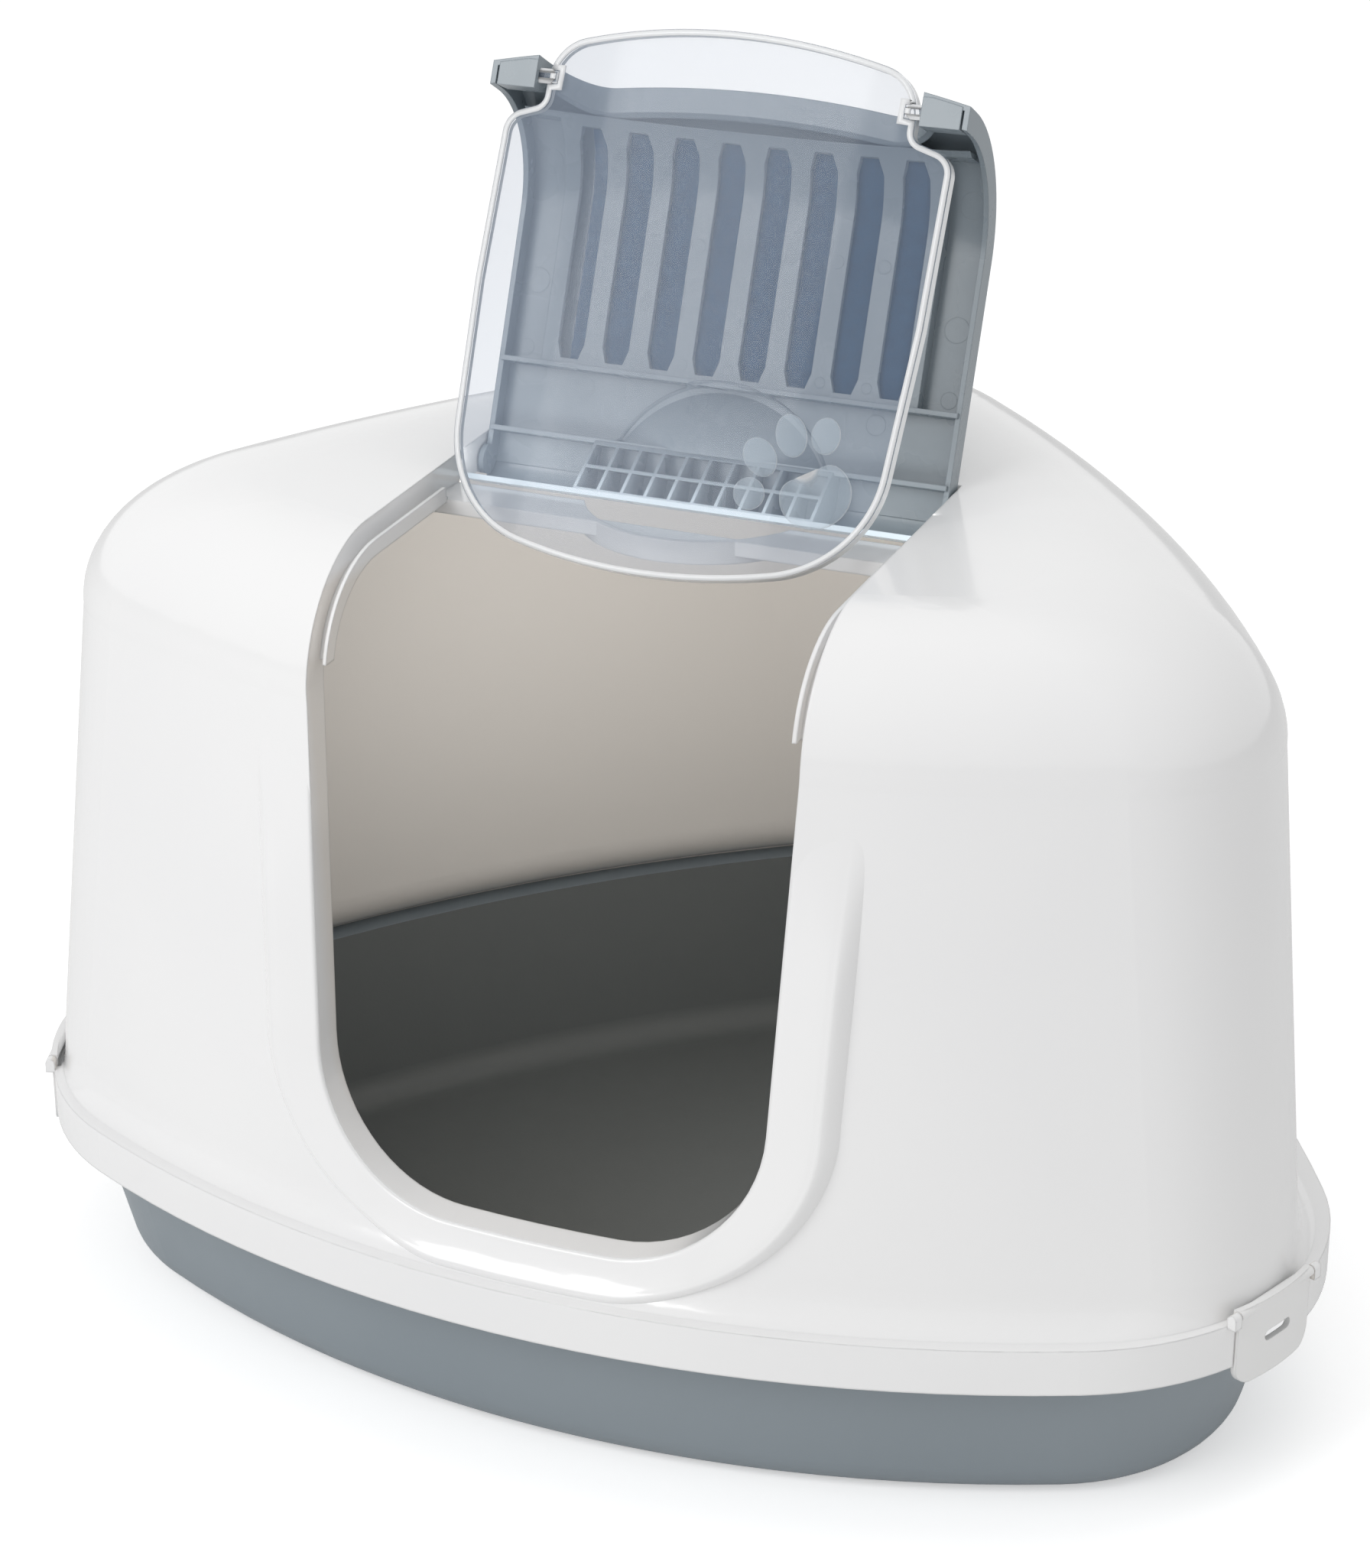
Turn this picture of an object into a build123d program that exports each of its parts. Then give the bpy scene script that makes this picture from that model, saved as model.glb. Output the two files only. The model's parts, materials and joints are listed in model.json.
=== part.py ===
"""Corner cat litter box with a hood, a lift-up top panel and a swing door.

The frame is millimetres, +X right, -Y towards the entrance and +Z up, with the origin on the
floor under the middle of the box. The top panel is modelled shut, in line with the hood's own
skin, and is then turned about its hinge to stand open. The door hangs on the panel's free edge.
"""
from build123d import *
from math import cos, radians, sin, sqrt
import os

# ---- plan of the box: a front arc and two bowed back sides that meet in a rounded corner
BOX_WIDTH = 548.0
BOX_DEPTH = 456.0
FRONT_RADIUS = 491.0
BACK_RADIUS = 695.0
BACK_ROUND = 100.0
SIDE_ROUND = 112.0

# ---- heights
TRAY_HEIGHT = 80.0
SKIRT_BOTTOM = 66.5
SKIRT_HEIGHT = 19.0
TOP_HEIGHT = 355.0
TOP_SLOPE = 0.04

# ---- tray
TRAY_WALL = 3.0
TRAY_GAP = 0.8
TRAY_FOOT_INSET = 32.0
TRAY_RIM_WIDTH = 9.0
TRAY_RIM_THICKNESS = 2.6
TRAY_BOTTOM_ROUND = 18.0

# ---- hood shell
HOOD_WALL = 2.6
FRONT_STEP = 13.3
BACK_STEP = 18.7
WALL_DRAFT = 0.078
FLARE_HEIGHT = 16.0
FLARE_EDGE = 2.5
FLARE_SINK = 1.0
FRONT_SHOULDER = 50.0
BACK_SHOULDER = 88.0
BODY_SIDE_ROUND = 70.0
TOP_SIDE_ROUND = 34.0
BODY_BACK_ROUND = 94.0

# ---- entrance
ENTRANCE_SILL = 102.0
ENTRANCE_LOW_WIDTH = 180.0
ENTRANCE_HIGH_WIDTH = 198.0
ENTRANCE_HIGH = 300.0
ENTRANCE_ROUND = 60.0
LIP_DEPTH = 13.0
LIP_WALL = 2.4

# ---- top panel and its seat in the hood
PANEL_WIDTH = 196.0
PANEL_GAP = 1.5
PANEL_SKIN = 2.2
PANEL_RIM_DEPTH = 9.0
PANEL_RIM_WALL = 2.2
PANEL_FOOT_DEPTH = 27.0
FOOT_SINK = 0.44
PANEL_FREE_Z = 296.0
HINGE_Y = -38.0
HINGE_Z = 345.3
OPEN_ANGLE = 113.8
HINGE_PIN_RADIUS = 3.0
HINGE_PIN_REACH = 5.0
RUNNING_GAP = 0.1
SEAT_DROP = 0.6
RAIL_WIDTH = 5.5
RAIL_WALL = 2.2
RAIL_LIP = 1.7
RAIL_RISE = 4.0
RAIL_END_Z = 309.0
SHELF_FRONT_Y = -81.0
SHELF_BACK_Y = -60.5
SHELF_DROP = 11.5
SHELF_SKIN = 2.4
SHELF_FLANGE = 6.0
DISH_RADIUS = 48.0
BOWL_RADIUS = 48.0
BOWL_DEPTH = 13.0
BOWL_SINK = 0.55
DISH_Y = -40.0
DISH_DROP = 7.0

# ---- filter pocket in the panel
POCKET_WIDTH = 156.0
POCKET_FRONT_Y = -174.0
POCKET_BACK_Y = -80.0
COVER_SKIN = 1.8
FILTER_THICKNESS = 4.4
FILTER_FIT = 0.3
COVER_GAP = 0.4
FRAME_WALL = 2.0
RIB_DEPTH = 10.3
RIB_WALL = 2.0
GRIP_RIB_Y = -52.0
GRIP_PITCH = 10.0
GRIP_END_Z = 343.5
GRIP_CELLS = 10
GRIP_WALL = 1.4
BAR_COUNT = 7
BAR_PITCH = 19.4
BAR_WIDTH = 8.0
BAR_END_WIDTH = 12.0
COVER_BAR_WIDTH = 12.8
COVER_BAR_END_WIDTH = 14.4

# ---- swing door
DOOR_PIN_Y = -185.0
DOOR_PIN_Z = 300.8
DOOR_PIN_RADIUS = 2.5
DOOR_PIN_TIP = 90.0
SOCKET_DEPTH = 11.0
SOCKET_HEIGHT = 10.0
SOCKET_WIDTH = 16.0
ARCH_RISE = 25.7
ARCH_ROUND = 22.0
DOOR_TILT = 27.0
DOOR_HEIGHT = 187.0
DOOR_LOW_ARC = 225.0
DOOR_TOP_WIDTH = 185.0
DOOR_LOW_WIDTH = 176.0
DOOR_TAPER_START = 80.4
DOOR_LOW_ROUND = 48.0
DOOR_NECK = 10.5
DOOR_SHOULDER = 15.0
DOOR_SHOULDER_ROUND = 9.0
DOOR_SKIN = 2.0
DOOR_BOW = 9.0
DOOR_RIM = 4.5
DOOR_RIM_WALL = 2.0
LOBE_WIDTH = 152.0
LOBE_HEIGHT = 23.0
LOBE_ARC = 280.0
LOBE_ROUND = 18.0
LOBE_GAP = 3.0

# ---- latch clips on the two short sides
CLIP_TURN = -20.0
CLIP_WIDTH = 46.0
CLIP_WALL = 2.4
CLIP_GAP = 0.5
CLIP_CATCH_GAP = 1.8
CLIP_DROP = 9.0
CLIP_ROUND = 8.0
CLIP_PROUD = 0.9
CLIP_AXIS_STEP = 1.7
CLIP_SLOT_Z = 74.0
CLIP_SLOT_LENGTH = 16.0
CLIP_SLOT_WIDTH = 4.5
CLIP_BARREL_RADIUS = 2.0
CLIP_PIN_RADIUS = 1.2
CLIP_PIN_REACH = 3.0
CLIP_EAR = 4.0

SKIRT_TOP = SKIRT_BOTTOM + SKIRT_HEIGHT
HALF_DEPTH = BOX_DEPTH / 2
FRONT_CENTRE = Vector(0, FRONT_RADIUS - HALF_DEPTH)
FAR = 400.0
OPENING = ENTRANCE_HIGH_WIDTH / 2
PANEL_HALF = PANEL_WIDTH / 2
FOOT_RADIUS = TOP_HEIGHT - HINGE_Z
NOTCH_BACK_Y = HINGE_Y + FOOT_RADIUS + PANEL_GAP
HINGE_LINE = Axis((0, HINGE_Y, HINGE_Z), (1, 0, 0))


def top_z(y):
    """Height of the hood's top face at a distance y from the middle."""
    return TOP_HEIGHT + TOP_SLOPE * (y - HINGE_Y)


def circle_meet(centre_a, radius_a, centre_b, radius_b):
    """Both points where two circles meet, the left one first."""
    across = centre_b - centre_a
    along = (radius_a**2 - radius_b**2 + across.length**2) / (2 * across.length)
    half = sqrt(radius_a**2 - along**2)
    foot = centre_a + across.normalized() * along
    normal = Vector(-across.Y, across.X).normalized() * half
    return sorted((foot + normal, foot - normal), key=lambda point: point.X)


def right_back_centre():
    """Centre of the arc of the right back side, tangent to the side round and the back round."""
    side_x = BOX_WIDTH / 2 - SIDE_ROUND
    side_y = FRONT_CENTRE.Y - sqrt((FRONT_RADIUS - SIDE_ROUND) ** 2 - side_x**2)
    apex = Vector(0, HALF_DEPTH - BACK_ROUND)
    side = Vector(side_x, side_y)
    return circle_meet(side, BACK_RADIUS - SIDE_ROUND, apex, BACK_RADIUS - BACK_ROUND)[0]


BACK_CENTRE = right_back_centre()


def outline(front_step=0.0, back_step=0.0, side_round=SIDE_ROUND, back_round=BACK_ROUND):
    """Six tangent arcs: the plan of the box, moved in by a step at the front and at the back."""
    front = FRONT_RADIUS - front_step
    back = BACK_RADIUS - back_step
    corner = circle_meet(FRONT_CENTRE, front - side_round, BACK_CENTRE, back - side_round)[1]
    apex = Vector(0, BACK_CENTRE.Y + sqrt((back - back_round) ** 2 - BACK_CENTRE.X**2))
    front_end = FRONT_CENTRE + (corner - FRONT_CENTRE).normalized() * front
    back_start = BACK_CENTRE + (corner - BACK_CENTRE).normalized() * back
    back_end = BACK_CENTRE + (apex - BACK_CENTRE).normalized() * back
    corner_mid = corner + ((front_end + back_start) * 0.5 - corner).normalized() * side_round
    back_mid = BACK_CENTRE + ((back_start + back_end) * 0.5 - BACK_CENTRE).normalized() * back

    def left(point):
        return Vector(-point.X, point.Y)

    with BuildSketch() as plan:
        with BuildLine():
            ThreePointArc(left(front_end), (0, FRONT_CENTRE.Y - front), front_end)
            ThreePointArc(front_end, corner_mid, back_start)
            ThreePointArc(back_start, back_mid, back_end)
            ThreePointArc(back_end, (0, apex.Y + back_round), left(back_end))
            ThreePointArc(left(back_end), left(back_mid), left(back_start))
            ThreePointArc(left(back_start), left(corner_mid), left(front_end))
        make_face()
    return plan.sketch


def even_outline(step):
    """The plan of the box moved in by the same step all round."""
    return outline(step, step, SIDE_ROUND - step, BACK_ROUND - step)


def level(front_z, back_z):
    """A plane across the hood, at front_z over its front edge and at back_z over its back."""
    slope = (back_z - front_z) / BOX_DEPTH
    middle = (front_z + back_z) / 2
    return Plane(origin=(0, 0, middle), x_dir=(1, 0, 0), z_dir=(0, -slope, 1))


def flare_section(turn, wall):
    """One level of the concave flare between the skirt and the wall; turn runs from 0 to 90."""
    spread = 1 - sin(radians(turn))
    z = SKIRT_TOP + FLARE_HEIGHT * (1 - cos(radians(turn))) - (wall + FLARE_SINK) * spread
    front = FRONT_STEP - (FRONT_STEP - FLARE_EDGE) * spread + wall
    back = BACK_STEP - (BACK_STEP - FLARE_EDGE) * spread + wall
    side = BODY_SIDE_ROUND + (SIDE_ROUND - BODY_SIDE_ROUND) * spread - wall
    apex = BODY_BACK_ROUND + (BACK_ROUND - BODY_BACK_ROUND) * spread - wall
    return level(z, z), (front, back, side, apex)


def shoulder_section(turn, wall):
    """One level of the round between wall and top; turn runs from 0 at the wall to 90 on top."""
    rise, reach = sin(radians(turn)), cos(radians(turn))
    front_foot = top_z(-HALF_DEPTH) - FRONT_SHOULDER
    back_foot = top_z(HALF_DEPTH) - BACK_SHOULDER
    front_z = front_foot + (FRONT_SHOULDER - wall) * rise
    back_z = back_foot + (BACK_SHOULDER - wall) * rise
    foot = SKIRT_TOP + FLARE_HEIGHT
    front = FRONT_STEP + WALL_DRAFT * (front_foot - foot) + FRONT_SHOULDER
    back = BACK_STEP + WALL_DRAFT * (back_foot - foot) + BACK_SHOULDER
    side = TOP_SIDE_ROUND + (BODY_SIDE_ROUND - TOP_SIDE_ROUND) * reach - wall
    steps = (front - (FRONT_SHOULDER - wall) * reach, back - (BACK_SHOULDER - wall) * reach)
    return level(front_z, back_z), (*steps, side, BODY_BACK_ROUND - wall)


def stacked(stack, ruled=False):
    """A private solid through a stack of levels."""
    with BuildPart(mode=Mode.PRIVATE) as form:
        for plane, steps in stack:
            with BuildSketch(plane):
                add(outline(*steps))
        loft(ruled=ruled)
    return form.part


def hood_form(wall, skirt_bottom=SKIRT_BOTTOM):
    """The hood as a filled solid, moved in by a wall: skirt, flare, drafted wall and shoulder."""
    flare = [flare_section(turn, wall) for turn in (0, 30, 60, 90)]
    shoulder = [shoulder_section(turn, wall) for turn in (0, 20, 40, 60, 78, 90)]
    with BuildPart(mode=Mode.PRIVATE) as skirt:
        with BuildSketch(Plane.XY.offset(skirt_bottom)):
            add(even_outline(wall))
        extrude(amount=SKIRT_TOP - wall - skirt_bottom)
    lower = skirt.part + stacked(flare)
    upper = stacked([flare[-1], shoulder[0]], ruled=True) + stacked(shoulder)
    return lower + upper


def front_form(depth):
    """The hood's front and top near the middle, as a turned solid, moved in by a depth."""
    foot = SKIRT_BOTTOM
    drop = SKIRT_TOP + FLARE_HEIGHT - foot
    wall_low = Vector(-HALF_DEPTH + FRONT_STEP - WALL_DRAFT * drop, foot)
    wall_high = wall_low + Vector(WALL_DRAFT, 1) * (TOP_HEIGHT - foot)
    with BuildPart(mode=Mode.PRIVATE) as form:
        with BuildSketch(Plane.YZ):
            with BuildLine():
                edge = FilletPolyline(
                    wall_low,
                    (wall_high.X, top_z(wall_high.X)),
                    (FRONT_CENTRE.Y, top_z(FRONT_CENTRE.Y)),
                    radius=FRONT_SHOULDER,
                )
                Polyline(edge @ 1, (FRONT_CENTRE.Y, foot), edge @ 0)
            make_face()
            if depth:
                offset(amount=-depth, kind=Kind.INTERSECTION)
        revolve(axis=Axis((0, FRONT_CENTRE.Y, 0), (0, 0, 1)))
    return form.part


def band(outer_depth, inner_depth):
    """A skin that follows the hood's front and top, between two depths under its surface."""
    return front_form(outer_depth) - front_form(inner_depth)


def block(x_range, y_range, z_range):
    """A plain box between two corners, as a private solid."""
    size = [high - low for low, high in (x_range, y_range, z_range)]
    corner = [low for low, high in (x_range, y_range, z_range)]
    align = (Align.MIN, Align.MIN, Align.MIN)
    return Pos(*corner) * Box(*size, align=align, mode=Mode.PRIVATE)


def both_sides(solid):
    """A private solid with its mirror image on the other side of the box."""
    return solid + mirror(solid, about=Plane.YZ)


def entrance_profile(grow=0.0):
    """The entrance seen from the front: round low corners, and open at the top for the panel."""
    sill = ENTRANCE_SILL - grow
    low = ENTRANCE_LOW_WIDTH / 2 + grow
    high = ENTRANCE_HIGH_WIDTH / 2 + grow
    right = [(low, sill), (high, ENTRANCE_HIGH), (high, FAR)]
    left = [(-x, z) for x, z in reversed(right)]
    with BuildSketch(Plane.XZ) as profile:
        with BuildLine():
            Polyline(*right, *left, close=True)
        make_face()
        fillet(profile.vertices().group_by(Axis.Y)[0], ENTRANCE_ROUND + grow)
    return profile.sketch


def entrance_prism(back_y, grow=0.0):
    """The entrance as a prism that runs from in front of the box back to back_y."""
    with BuildPart(mode=Mode.PRIVATE) as prism:
        with BuildSketch(Plane.XZ.offset(-back_y)):
            add(entrance_profile(grow))
        extrude(amount=FAR)
    return prism.part


def rod(radius, x_start, x_end, y, z):
    """A round bar along X."""
    with BuildPart(mode=Mode.PRIVATE) as bar:
        with BuildSketch(Plane.YZ.offset(x_start)):
            with Locations((y, z)):
                Circle(radius)
        extrude(amount=x_end - x_start)
    return bar.part


def disc(radius, low_z, high_z, y):
    """A round slab about a vertical axis in the middle of the box."""
    with BuildPart(mode=Mode.PRIVATE) as slab:
        with BuildSketch(Plane.XY.offset(low_z)):
            with Locations((0, y)):
                Circle(radius)
        extrude(amount=high_z - low_z)
    return slab.part


def arch(grow=0.0):
    """The door's lobe opening in the panel's free edge, as a prism along Y."""
    with BuildPart(mode=Mode.PRIVATE) as prism:
        with BuildSketch(Plane.XZ.offset(FAR / 4)) as face:
            with Locations((0, DOOR_PIN_Z + ARCH_RISE + grow)):
                Rectangle(LOBE_WIDTH + 2 * (LOBE_GAP + grow), FAR / 4, align=(Align.CENTER, Align.MAX))
            fillet(face.vertices().group_by(Axis.Y)[-1], ARCH_ROUND + grow)
        extrude(amount=FAR)
    return prism.part


def opened(solid):
    """A solid of the shut panel, turned back with it to where it stands open."""
    return solid.rotate(HINGE_LINE, -OPEN_ANGLE)


# ---- tray: tapered walls, a rounded foot and a turned-out rim under the hood's skirt
TRAY_RIM_STEP = HOOD_WALL + TRAY_GAP
TRAY_WALL_STEP = TRAY_RIM_STEP + TRAY_RIM_WIDTH

with BuildPart() as tray:
    with BuildSketch():
        add(even_outline(TRAY_FOOT_INSET))
    with BuildSketch(Plane.XY.offset(TRAY_HEIGHT)):
        add(even_outline(TRAY_WALL_STEP))
    loft(ruled=True)
    fillet(tray.faces().sort_by(Axis.Z)[0].edges(), TRAY_BOTTOM_ROUND)
    offset(amount=-TRAY_WALL, openings=tray.faces().sort_by(Axis.Z)[-1])
    with BuildSketch(Plane.XY.offset(TRAY_HEIGHT - TRAY_RIM_THICKNESS)):
        add(even_outline(TRAY_RIM_STEP))
        add(even_outline(TRAY_WALL_STEP + TRAY_WALL / 2), mode=Mode.SUBTRACT)
    extrude(amount=TRAY_RIM_THICKNESS)
tray.part.label = "tray"

# ---- hood: shell, entrance with its lip, ledges and shelf that carry the panel, hinge bosses
hood_outer = hood_form(0.0)
lip_ring = entrance_prism(NOTCH_BACK_Y, LIP_WALL) - entrance_prism(NOTCH_BACK_Y)
entrance_lip = (lip_ring & hood_outer) - front_form(LIP_DEPTH)
panel_stop = opened(
    block(
        (-OPENING - LIP_WALL, OPENING + LIP_WALL),
        (HINGE_Y - 2 * FOOT_RADIUS, HINGE_Y),
        (TOP_HEIGHT + CLIP_GAP, TOP_HEIGHT + CLIP_GAP + LIP_WALL),
    )
)
panel_room = opened(
    block(
        (-OPENING, OPENING),
        (HINGE_Y - 4 * FOOT_RADIUS, HINGE_Y),
        (HINGE_Z, TOP_HEIGHT + CLIP_GAP),
    )
)
stop_zone = block((-FAR, FAR), (NOTCH_BACK_Y, FAR), (0, FAR))
ledge_top = PANEL_RIM_DEPTH + SEAT_DROP
ledge_zone = block(
    (OPENING - RAIL_WIDTH, OPENING + LIP_WALL / 2), (-FAR, SHELF_FRONT_Y + 1), (RAIL_END_Z, FAR)
)
upstand_zone = block(
    (OPENING - RAIL_WIDTH, OPENING - RAIL_WIDTH + RAIL_LIP), (-FAR, SHELF_FRONT_Y), (RAIL_END_Z, FAR)
)
ledge = band(ledge_top, ledge_top + RAIL_WALL) & ledge_zone
upstand = band(ledge_top - RAIL_RISE, ledge_top + RAIL_WALL) & upstand_zone
shelf_z = top_z((SHELF_FRONT_Y + SHELF_BACK_Y) / 2) - SHELF_DROP
shelf_x = (-OPENING - LIP_WALL / 2, OPENING + LIP_WALL / 2)
boss_reach = PANEL_GAP + HINGE_PIN_REACH
hinge_boss = rod(2 * HINGE_PIN_RADIUS, OPENING, OPENING + boss_reach + LIP_WALL, HINGE_Y, HINGE_Z)

dish_floor = shelf_z - DISH_DROP
dish_room = disc(DISH_RADIUS, dish_floor, FAR, DISH_Y)
dish_zone = block((-OPENING, OPENING), (-FAR, SHELF_BACK_Y), (0, shelf_z))
dish_pan = disc(DISH_RADIUS + PANEL_SKIN, dish_floor - PANEL_SKIN, shelf_z, DISH_Y) - dish_room
side_corner = circle_meet(
    FRONT_CENTRE, FRONT_RADIUS - SIDE_ROUND, BACK_CENTRE, BACK_RADIUS - SIDE_ROUND
)[1]
clip_half = CLIP_WIDTH / 2
clip_x = SIDE_ROUND - CLIP_AXIS_STEP
clip_z = SKIRT_TOP + CLIP_BARREL_RADIUS + 2 * CLIP_GAP
clip_top = clip_z + CLIP_BARREL_RADIUS
clip_bottom = SKIRT_BOTTOM - CLIP_DROP
clip_notch = block(
    (SIDE_ROUND - 2 * HOOD_WALL, SIDE_ROUND + 1),
    (-clip_half - CLIP_GAP, clip_half + CLIP_GAP),
    (SKIRT_BOTTOM - 1, SKIRT_TOP + FLARE_SINK),
)


def at_corner(solid):
    """Carries a solid drawn about the side round's own centre, facing +X, to the right corner."""
    return solid.rotate(Axis.Z, CLIP_TURN).moved(Location((side_corner.X, side_corner.Y, 0)))


def clip_rod(radius, low_y, high_y):
    """A round bar along Y on the axis of the right clip."""
    with BuildPart(mode=Mode.PRIVATE) as bar:
        with BuildSketch(Plane.XZ.offset(-low_y)):
            with Locations((clip_x, clip_z)):
                Circle(radius)
        extrude(amount=low_y - high_y)
    return bar.part


def clip_ear(low_y):
    """An upright ear on the flange that holds one pin of the right clip."""
    foot = block(
        (clip_x - CLIP_BARREL_RADIUS, clip_x + CLIP_BARREL_RADIUS),
        (low_y, low_y + CLIP_EAR),
        (SKIRT_TOP - FLARE_SINK, clip_z),
    )
    return foot + clip_rod(CLIP_BARREL_RADIUS, low_y, low_y + CLIP_EAR)


clip_ears = clip_ear(-clip_half - CLIP_GAP - CLIP_EAR) + clip_ear(clip_half + CLIP_GAP)
clip_bore = clip_rod(
    CLIP_PIN_RADIUS + RUNNING_GAP,
    -clip_half - CLIP_PIN_REACH - CLIP_GAP,
    clip_half + CLIP_PIN_REACH + CLIP_GAP,
)

with BuildPart() as hood:
    add(hood_outer)
    add(hood_form(HOOD_WALL, SKIRT_BOTTOM - 1), mode=Mode.SUBTRACT)
    add(entrance_prism(NOTCH_BACK_Y), mode=Mode.SUBTRACT)
    add(both_sides(at_corner(clip_notch)), mode=Mode.SUBTRACT)
    add(entrance_lip)
    add(panel_stop & hood_outer & stop_zone)
    add(panel_room, mode=Mode.SUBTRACT)
    add(both_sides(ledge))
    add(both_sides(upstand))
    add(block(shelf_x, (SHELF_FRONT_Y, SHELF_BACK_Y), (shelf_z - SHELF_SKIN, shelf_z)))
    add(block(shelf_x, (SHELF_FRONT_Y, SHELF_FRONT_Y + SHELF_SKIN), (shelf_z - SHELF_FLANGE, shelf_z)))
    add(dish_room, mode=Mode.SUBTRACT)
    add(dish_pan & dish_zone)
    add(both_sides(hinge_boss & hood_outer))
    add(
        both_sides(
            rod(HINGE_PIN_RADIUS + RUNNING_GAP, OPENING - 1, OPENING + boss_reach, HINGE_Y, HINGE_Z)
        ),
        mode=Mode.SUBTRACT,
    )
    add(both_sides(at_corner(clip_ears)))
    add(both_sides(at_corner(clip_bore)), mode=Mode.SUBTRACT)
hood.part.label = "hood"

# ---- latch clips: a bent plate over the flange that turns on pins between the hood's ears
with BuildPart() as clip:
    with BuildSketch(Plane.XY.offset(clip_bottom)):
        Circle(SIDE_ROUND + CLIP_PROUD)
        Circle(SIDE_ROUND + CLIP_PROUD - CLIP_WALL, mode=Mode.SUBTRACT)
    extrude(amount=clip_top - clip_bottom)
    with BuildSketch(Plane.XY.offset(clip_z)):
        Circle(SIDE_ROUND + CLIP_PROUD)
        Circle(clip_x, mode=Mode.SUBTRACT)
    extrude(amount=CLIP_BARREL_RADIUS)
    with BuildSketch(Plane.XY.offset(TRAY_HEIGHT - TRAY_RIM_THICKNESS)):
        Circle(SIDE_ROUND + CLIP_PROUD)
        Circle(SIDE_ROUND - TRAY_RIM_STEP + CLIP_CATCH_GAP, mode=Mode.SUBTRACT)
    extrude(amount=TRAY_RIM_THICKNESS)
    with BuildSketch(Plane.YZ) as face:
        with Locations((0, clip_bottom)):
            Rectangle(CLIP_WIDTH, clip_top - clip_bottom, align=(Align.CENTER, Align.MIN))
        fillet(face.vertices().group_by(Axis.Y)[0], CLIP_ROUND)
    extrude(amount=2 * SIDE_ROUND, mode=Mode.INTERSECT)
    with BuildSketch(Plane.YZ):
        with Locations((0, CLIP_SLOT_Z)):
            SlotOverall(CLIP_SLOT_LENGTH, CLIP_SLOT_WIDTH)
    extrude(amount=2 * SIDE_ROUND, mode=Mode.SUBTRACT)
    add(clip_rod(CLIP_BARREL_RADIUS, -clip_half, clip_half))
    add(clip_rod(CLIP_PIN_RADIUS, -clip_half - CLIP_PIN_REACH, clip_half + CLIP_PIN_REACH))

with BuildPart() as latch_clip_right:
    add(at_corner(clip.part))
latch_clip_right.part.label = "latch_clip_right"

with BuildPart() as latch_clip_left:
    add(mirror(latch_clip_right.part, about=Plane.YZ))
latch_clip_left.part.label = "latch_clip_left"

# ---- top panel, drawn shut: skin, rims, rolled foot, ribs, filter pocket, finger bowl and grip
above = (PANEL_FREE_Z, FAR)
skin_zone = block((-PANEL_HALF, PANEL_HALF), (-FAR, HINGE_Y), (PANEL_FREE_Z, FAR))
rim_zone = block(
    (PANEL_HALF - PANEL_RIM_WALL, PANEL_HALF), (-FAR, HINGE_Y), (PANEL_FREE_Z, FAR)
)
pocket_half = POCKET_WIDTH / 2
frame_half = pocket_half + FRAME_WALL
pocket_room = block((-pocket_half, pocket_half), (POCKET_FRONT_Y, POCKET_BACK_Y), above)
frame_zone = block(
    (-frame_half, frame_half), (POCKET_FRONT_Y - FRAME_WALL, POCKET_BACK_Y + RIB_WALL), above
)
floor_depth = COVER_SKIN + FILTER_THICKNESS + FILTER_FIT
skin = (band(0, PANEL_SKIN) & skin_zone) - pocket_room
rim = band(0, PANEL_RIM_DEPTH) & rim_zone
frame = (band(PANEL_SKIN / 2, floor_depth + PANEL_SKIN) & frame_zone) - pocket_room
pocket_floor = band(floor_depth, floor_depth + PANEL_SKIN) & frame_zone
cross_half = OPENING - RAIL_WIDTH - PANEL_GAP / 2
front_rib = band(PANEL_SKIN / 2, floor_depth + PANEL_SKIN) & block(
    (frame_half - 1, cross_half), (POCKET_FRONT_Y - FRAME_WALL, POCKET_FRONT_Y), above
)
pocket_rib = band(PANEL_SKIN / 2, RIB_DEPTH) & block(
    (-PANEL_HALF + 1, PANEL_HALF - 1), (POCKET_BACK_Y, POCKET_BACK_Y + RIB_WALL), above
)
grip_rib = band(PANEL_SKIN / 2, RIB_DEPTH) & block(
    (-PANEL_HALF + 1, PANEL_HALF - 1), (GRIP_RIB_Y, GRIP_RIB_Y + RIB_WALL), above
)
arch_rim = (arch(PANEL_SKIN) - arch()) & band(PANEL_SKIN / 2, PANEL_RIM_DEPTH - 1) & skin_zone
socket = block(
    (LOBE_WIDTH / 2 + LOBE_GAP, LOBE_WIDTH / 2 + LOBE_GAP + SOCKET_WIDTH),
    (DOOR_PIN_Y - SOCKET_DEPTH / 2, DOOR_PIN_Y + SOCKET_DEPTH / 2),
    (DOOR_PIN_Z - SOCKET_HEIGHT / 2, DOOR_PIN_Z + SOCKET_HEIGHT / 2),
) & front_form(PANEL_SKIN / 2)
bowl_sphere = (BOWL_RADIUS**2 + BOWL_DEPTH**2) / (2 * BOWL_DEPTH)
bowl_centre = (0, POCKET_BACK_Y + RIB_WALL / 2 + BOWL_RADIUS, TOP_HEIGHT - BOWL_DEPTH + bowl_sphere)
bowl_room = Pos(*bowl_centre) * Sphere(bowl_sphere, mode=Mode.PRIVATE)
bowl_shell = Pos(*bowl_centre) * Sphere(bowl_sphere + PANEL_SKIN, mode=Mode.PRIVATE)
bowl_zone = block(
    (-BOWL_RADIUS, BOWL_RADIUS), (POCKET_BACK_Y + RIB_WALL / 2, GRIP_RIB_Y + RIB_WALL / 2), (0, FAR)
)
foot_in = FOOT_RADIUS - PANEL_SKIN
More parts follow.
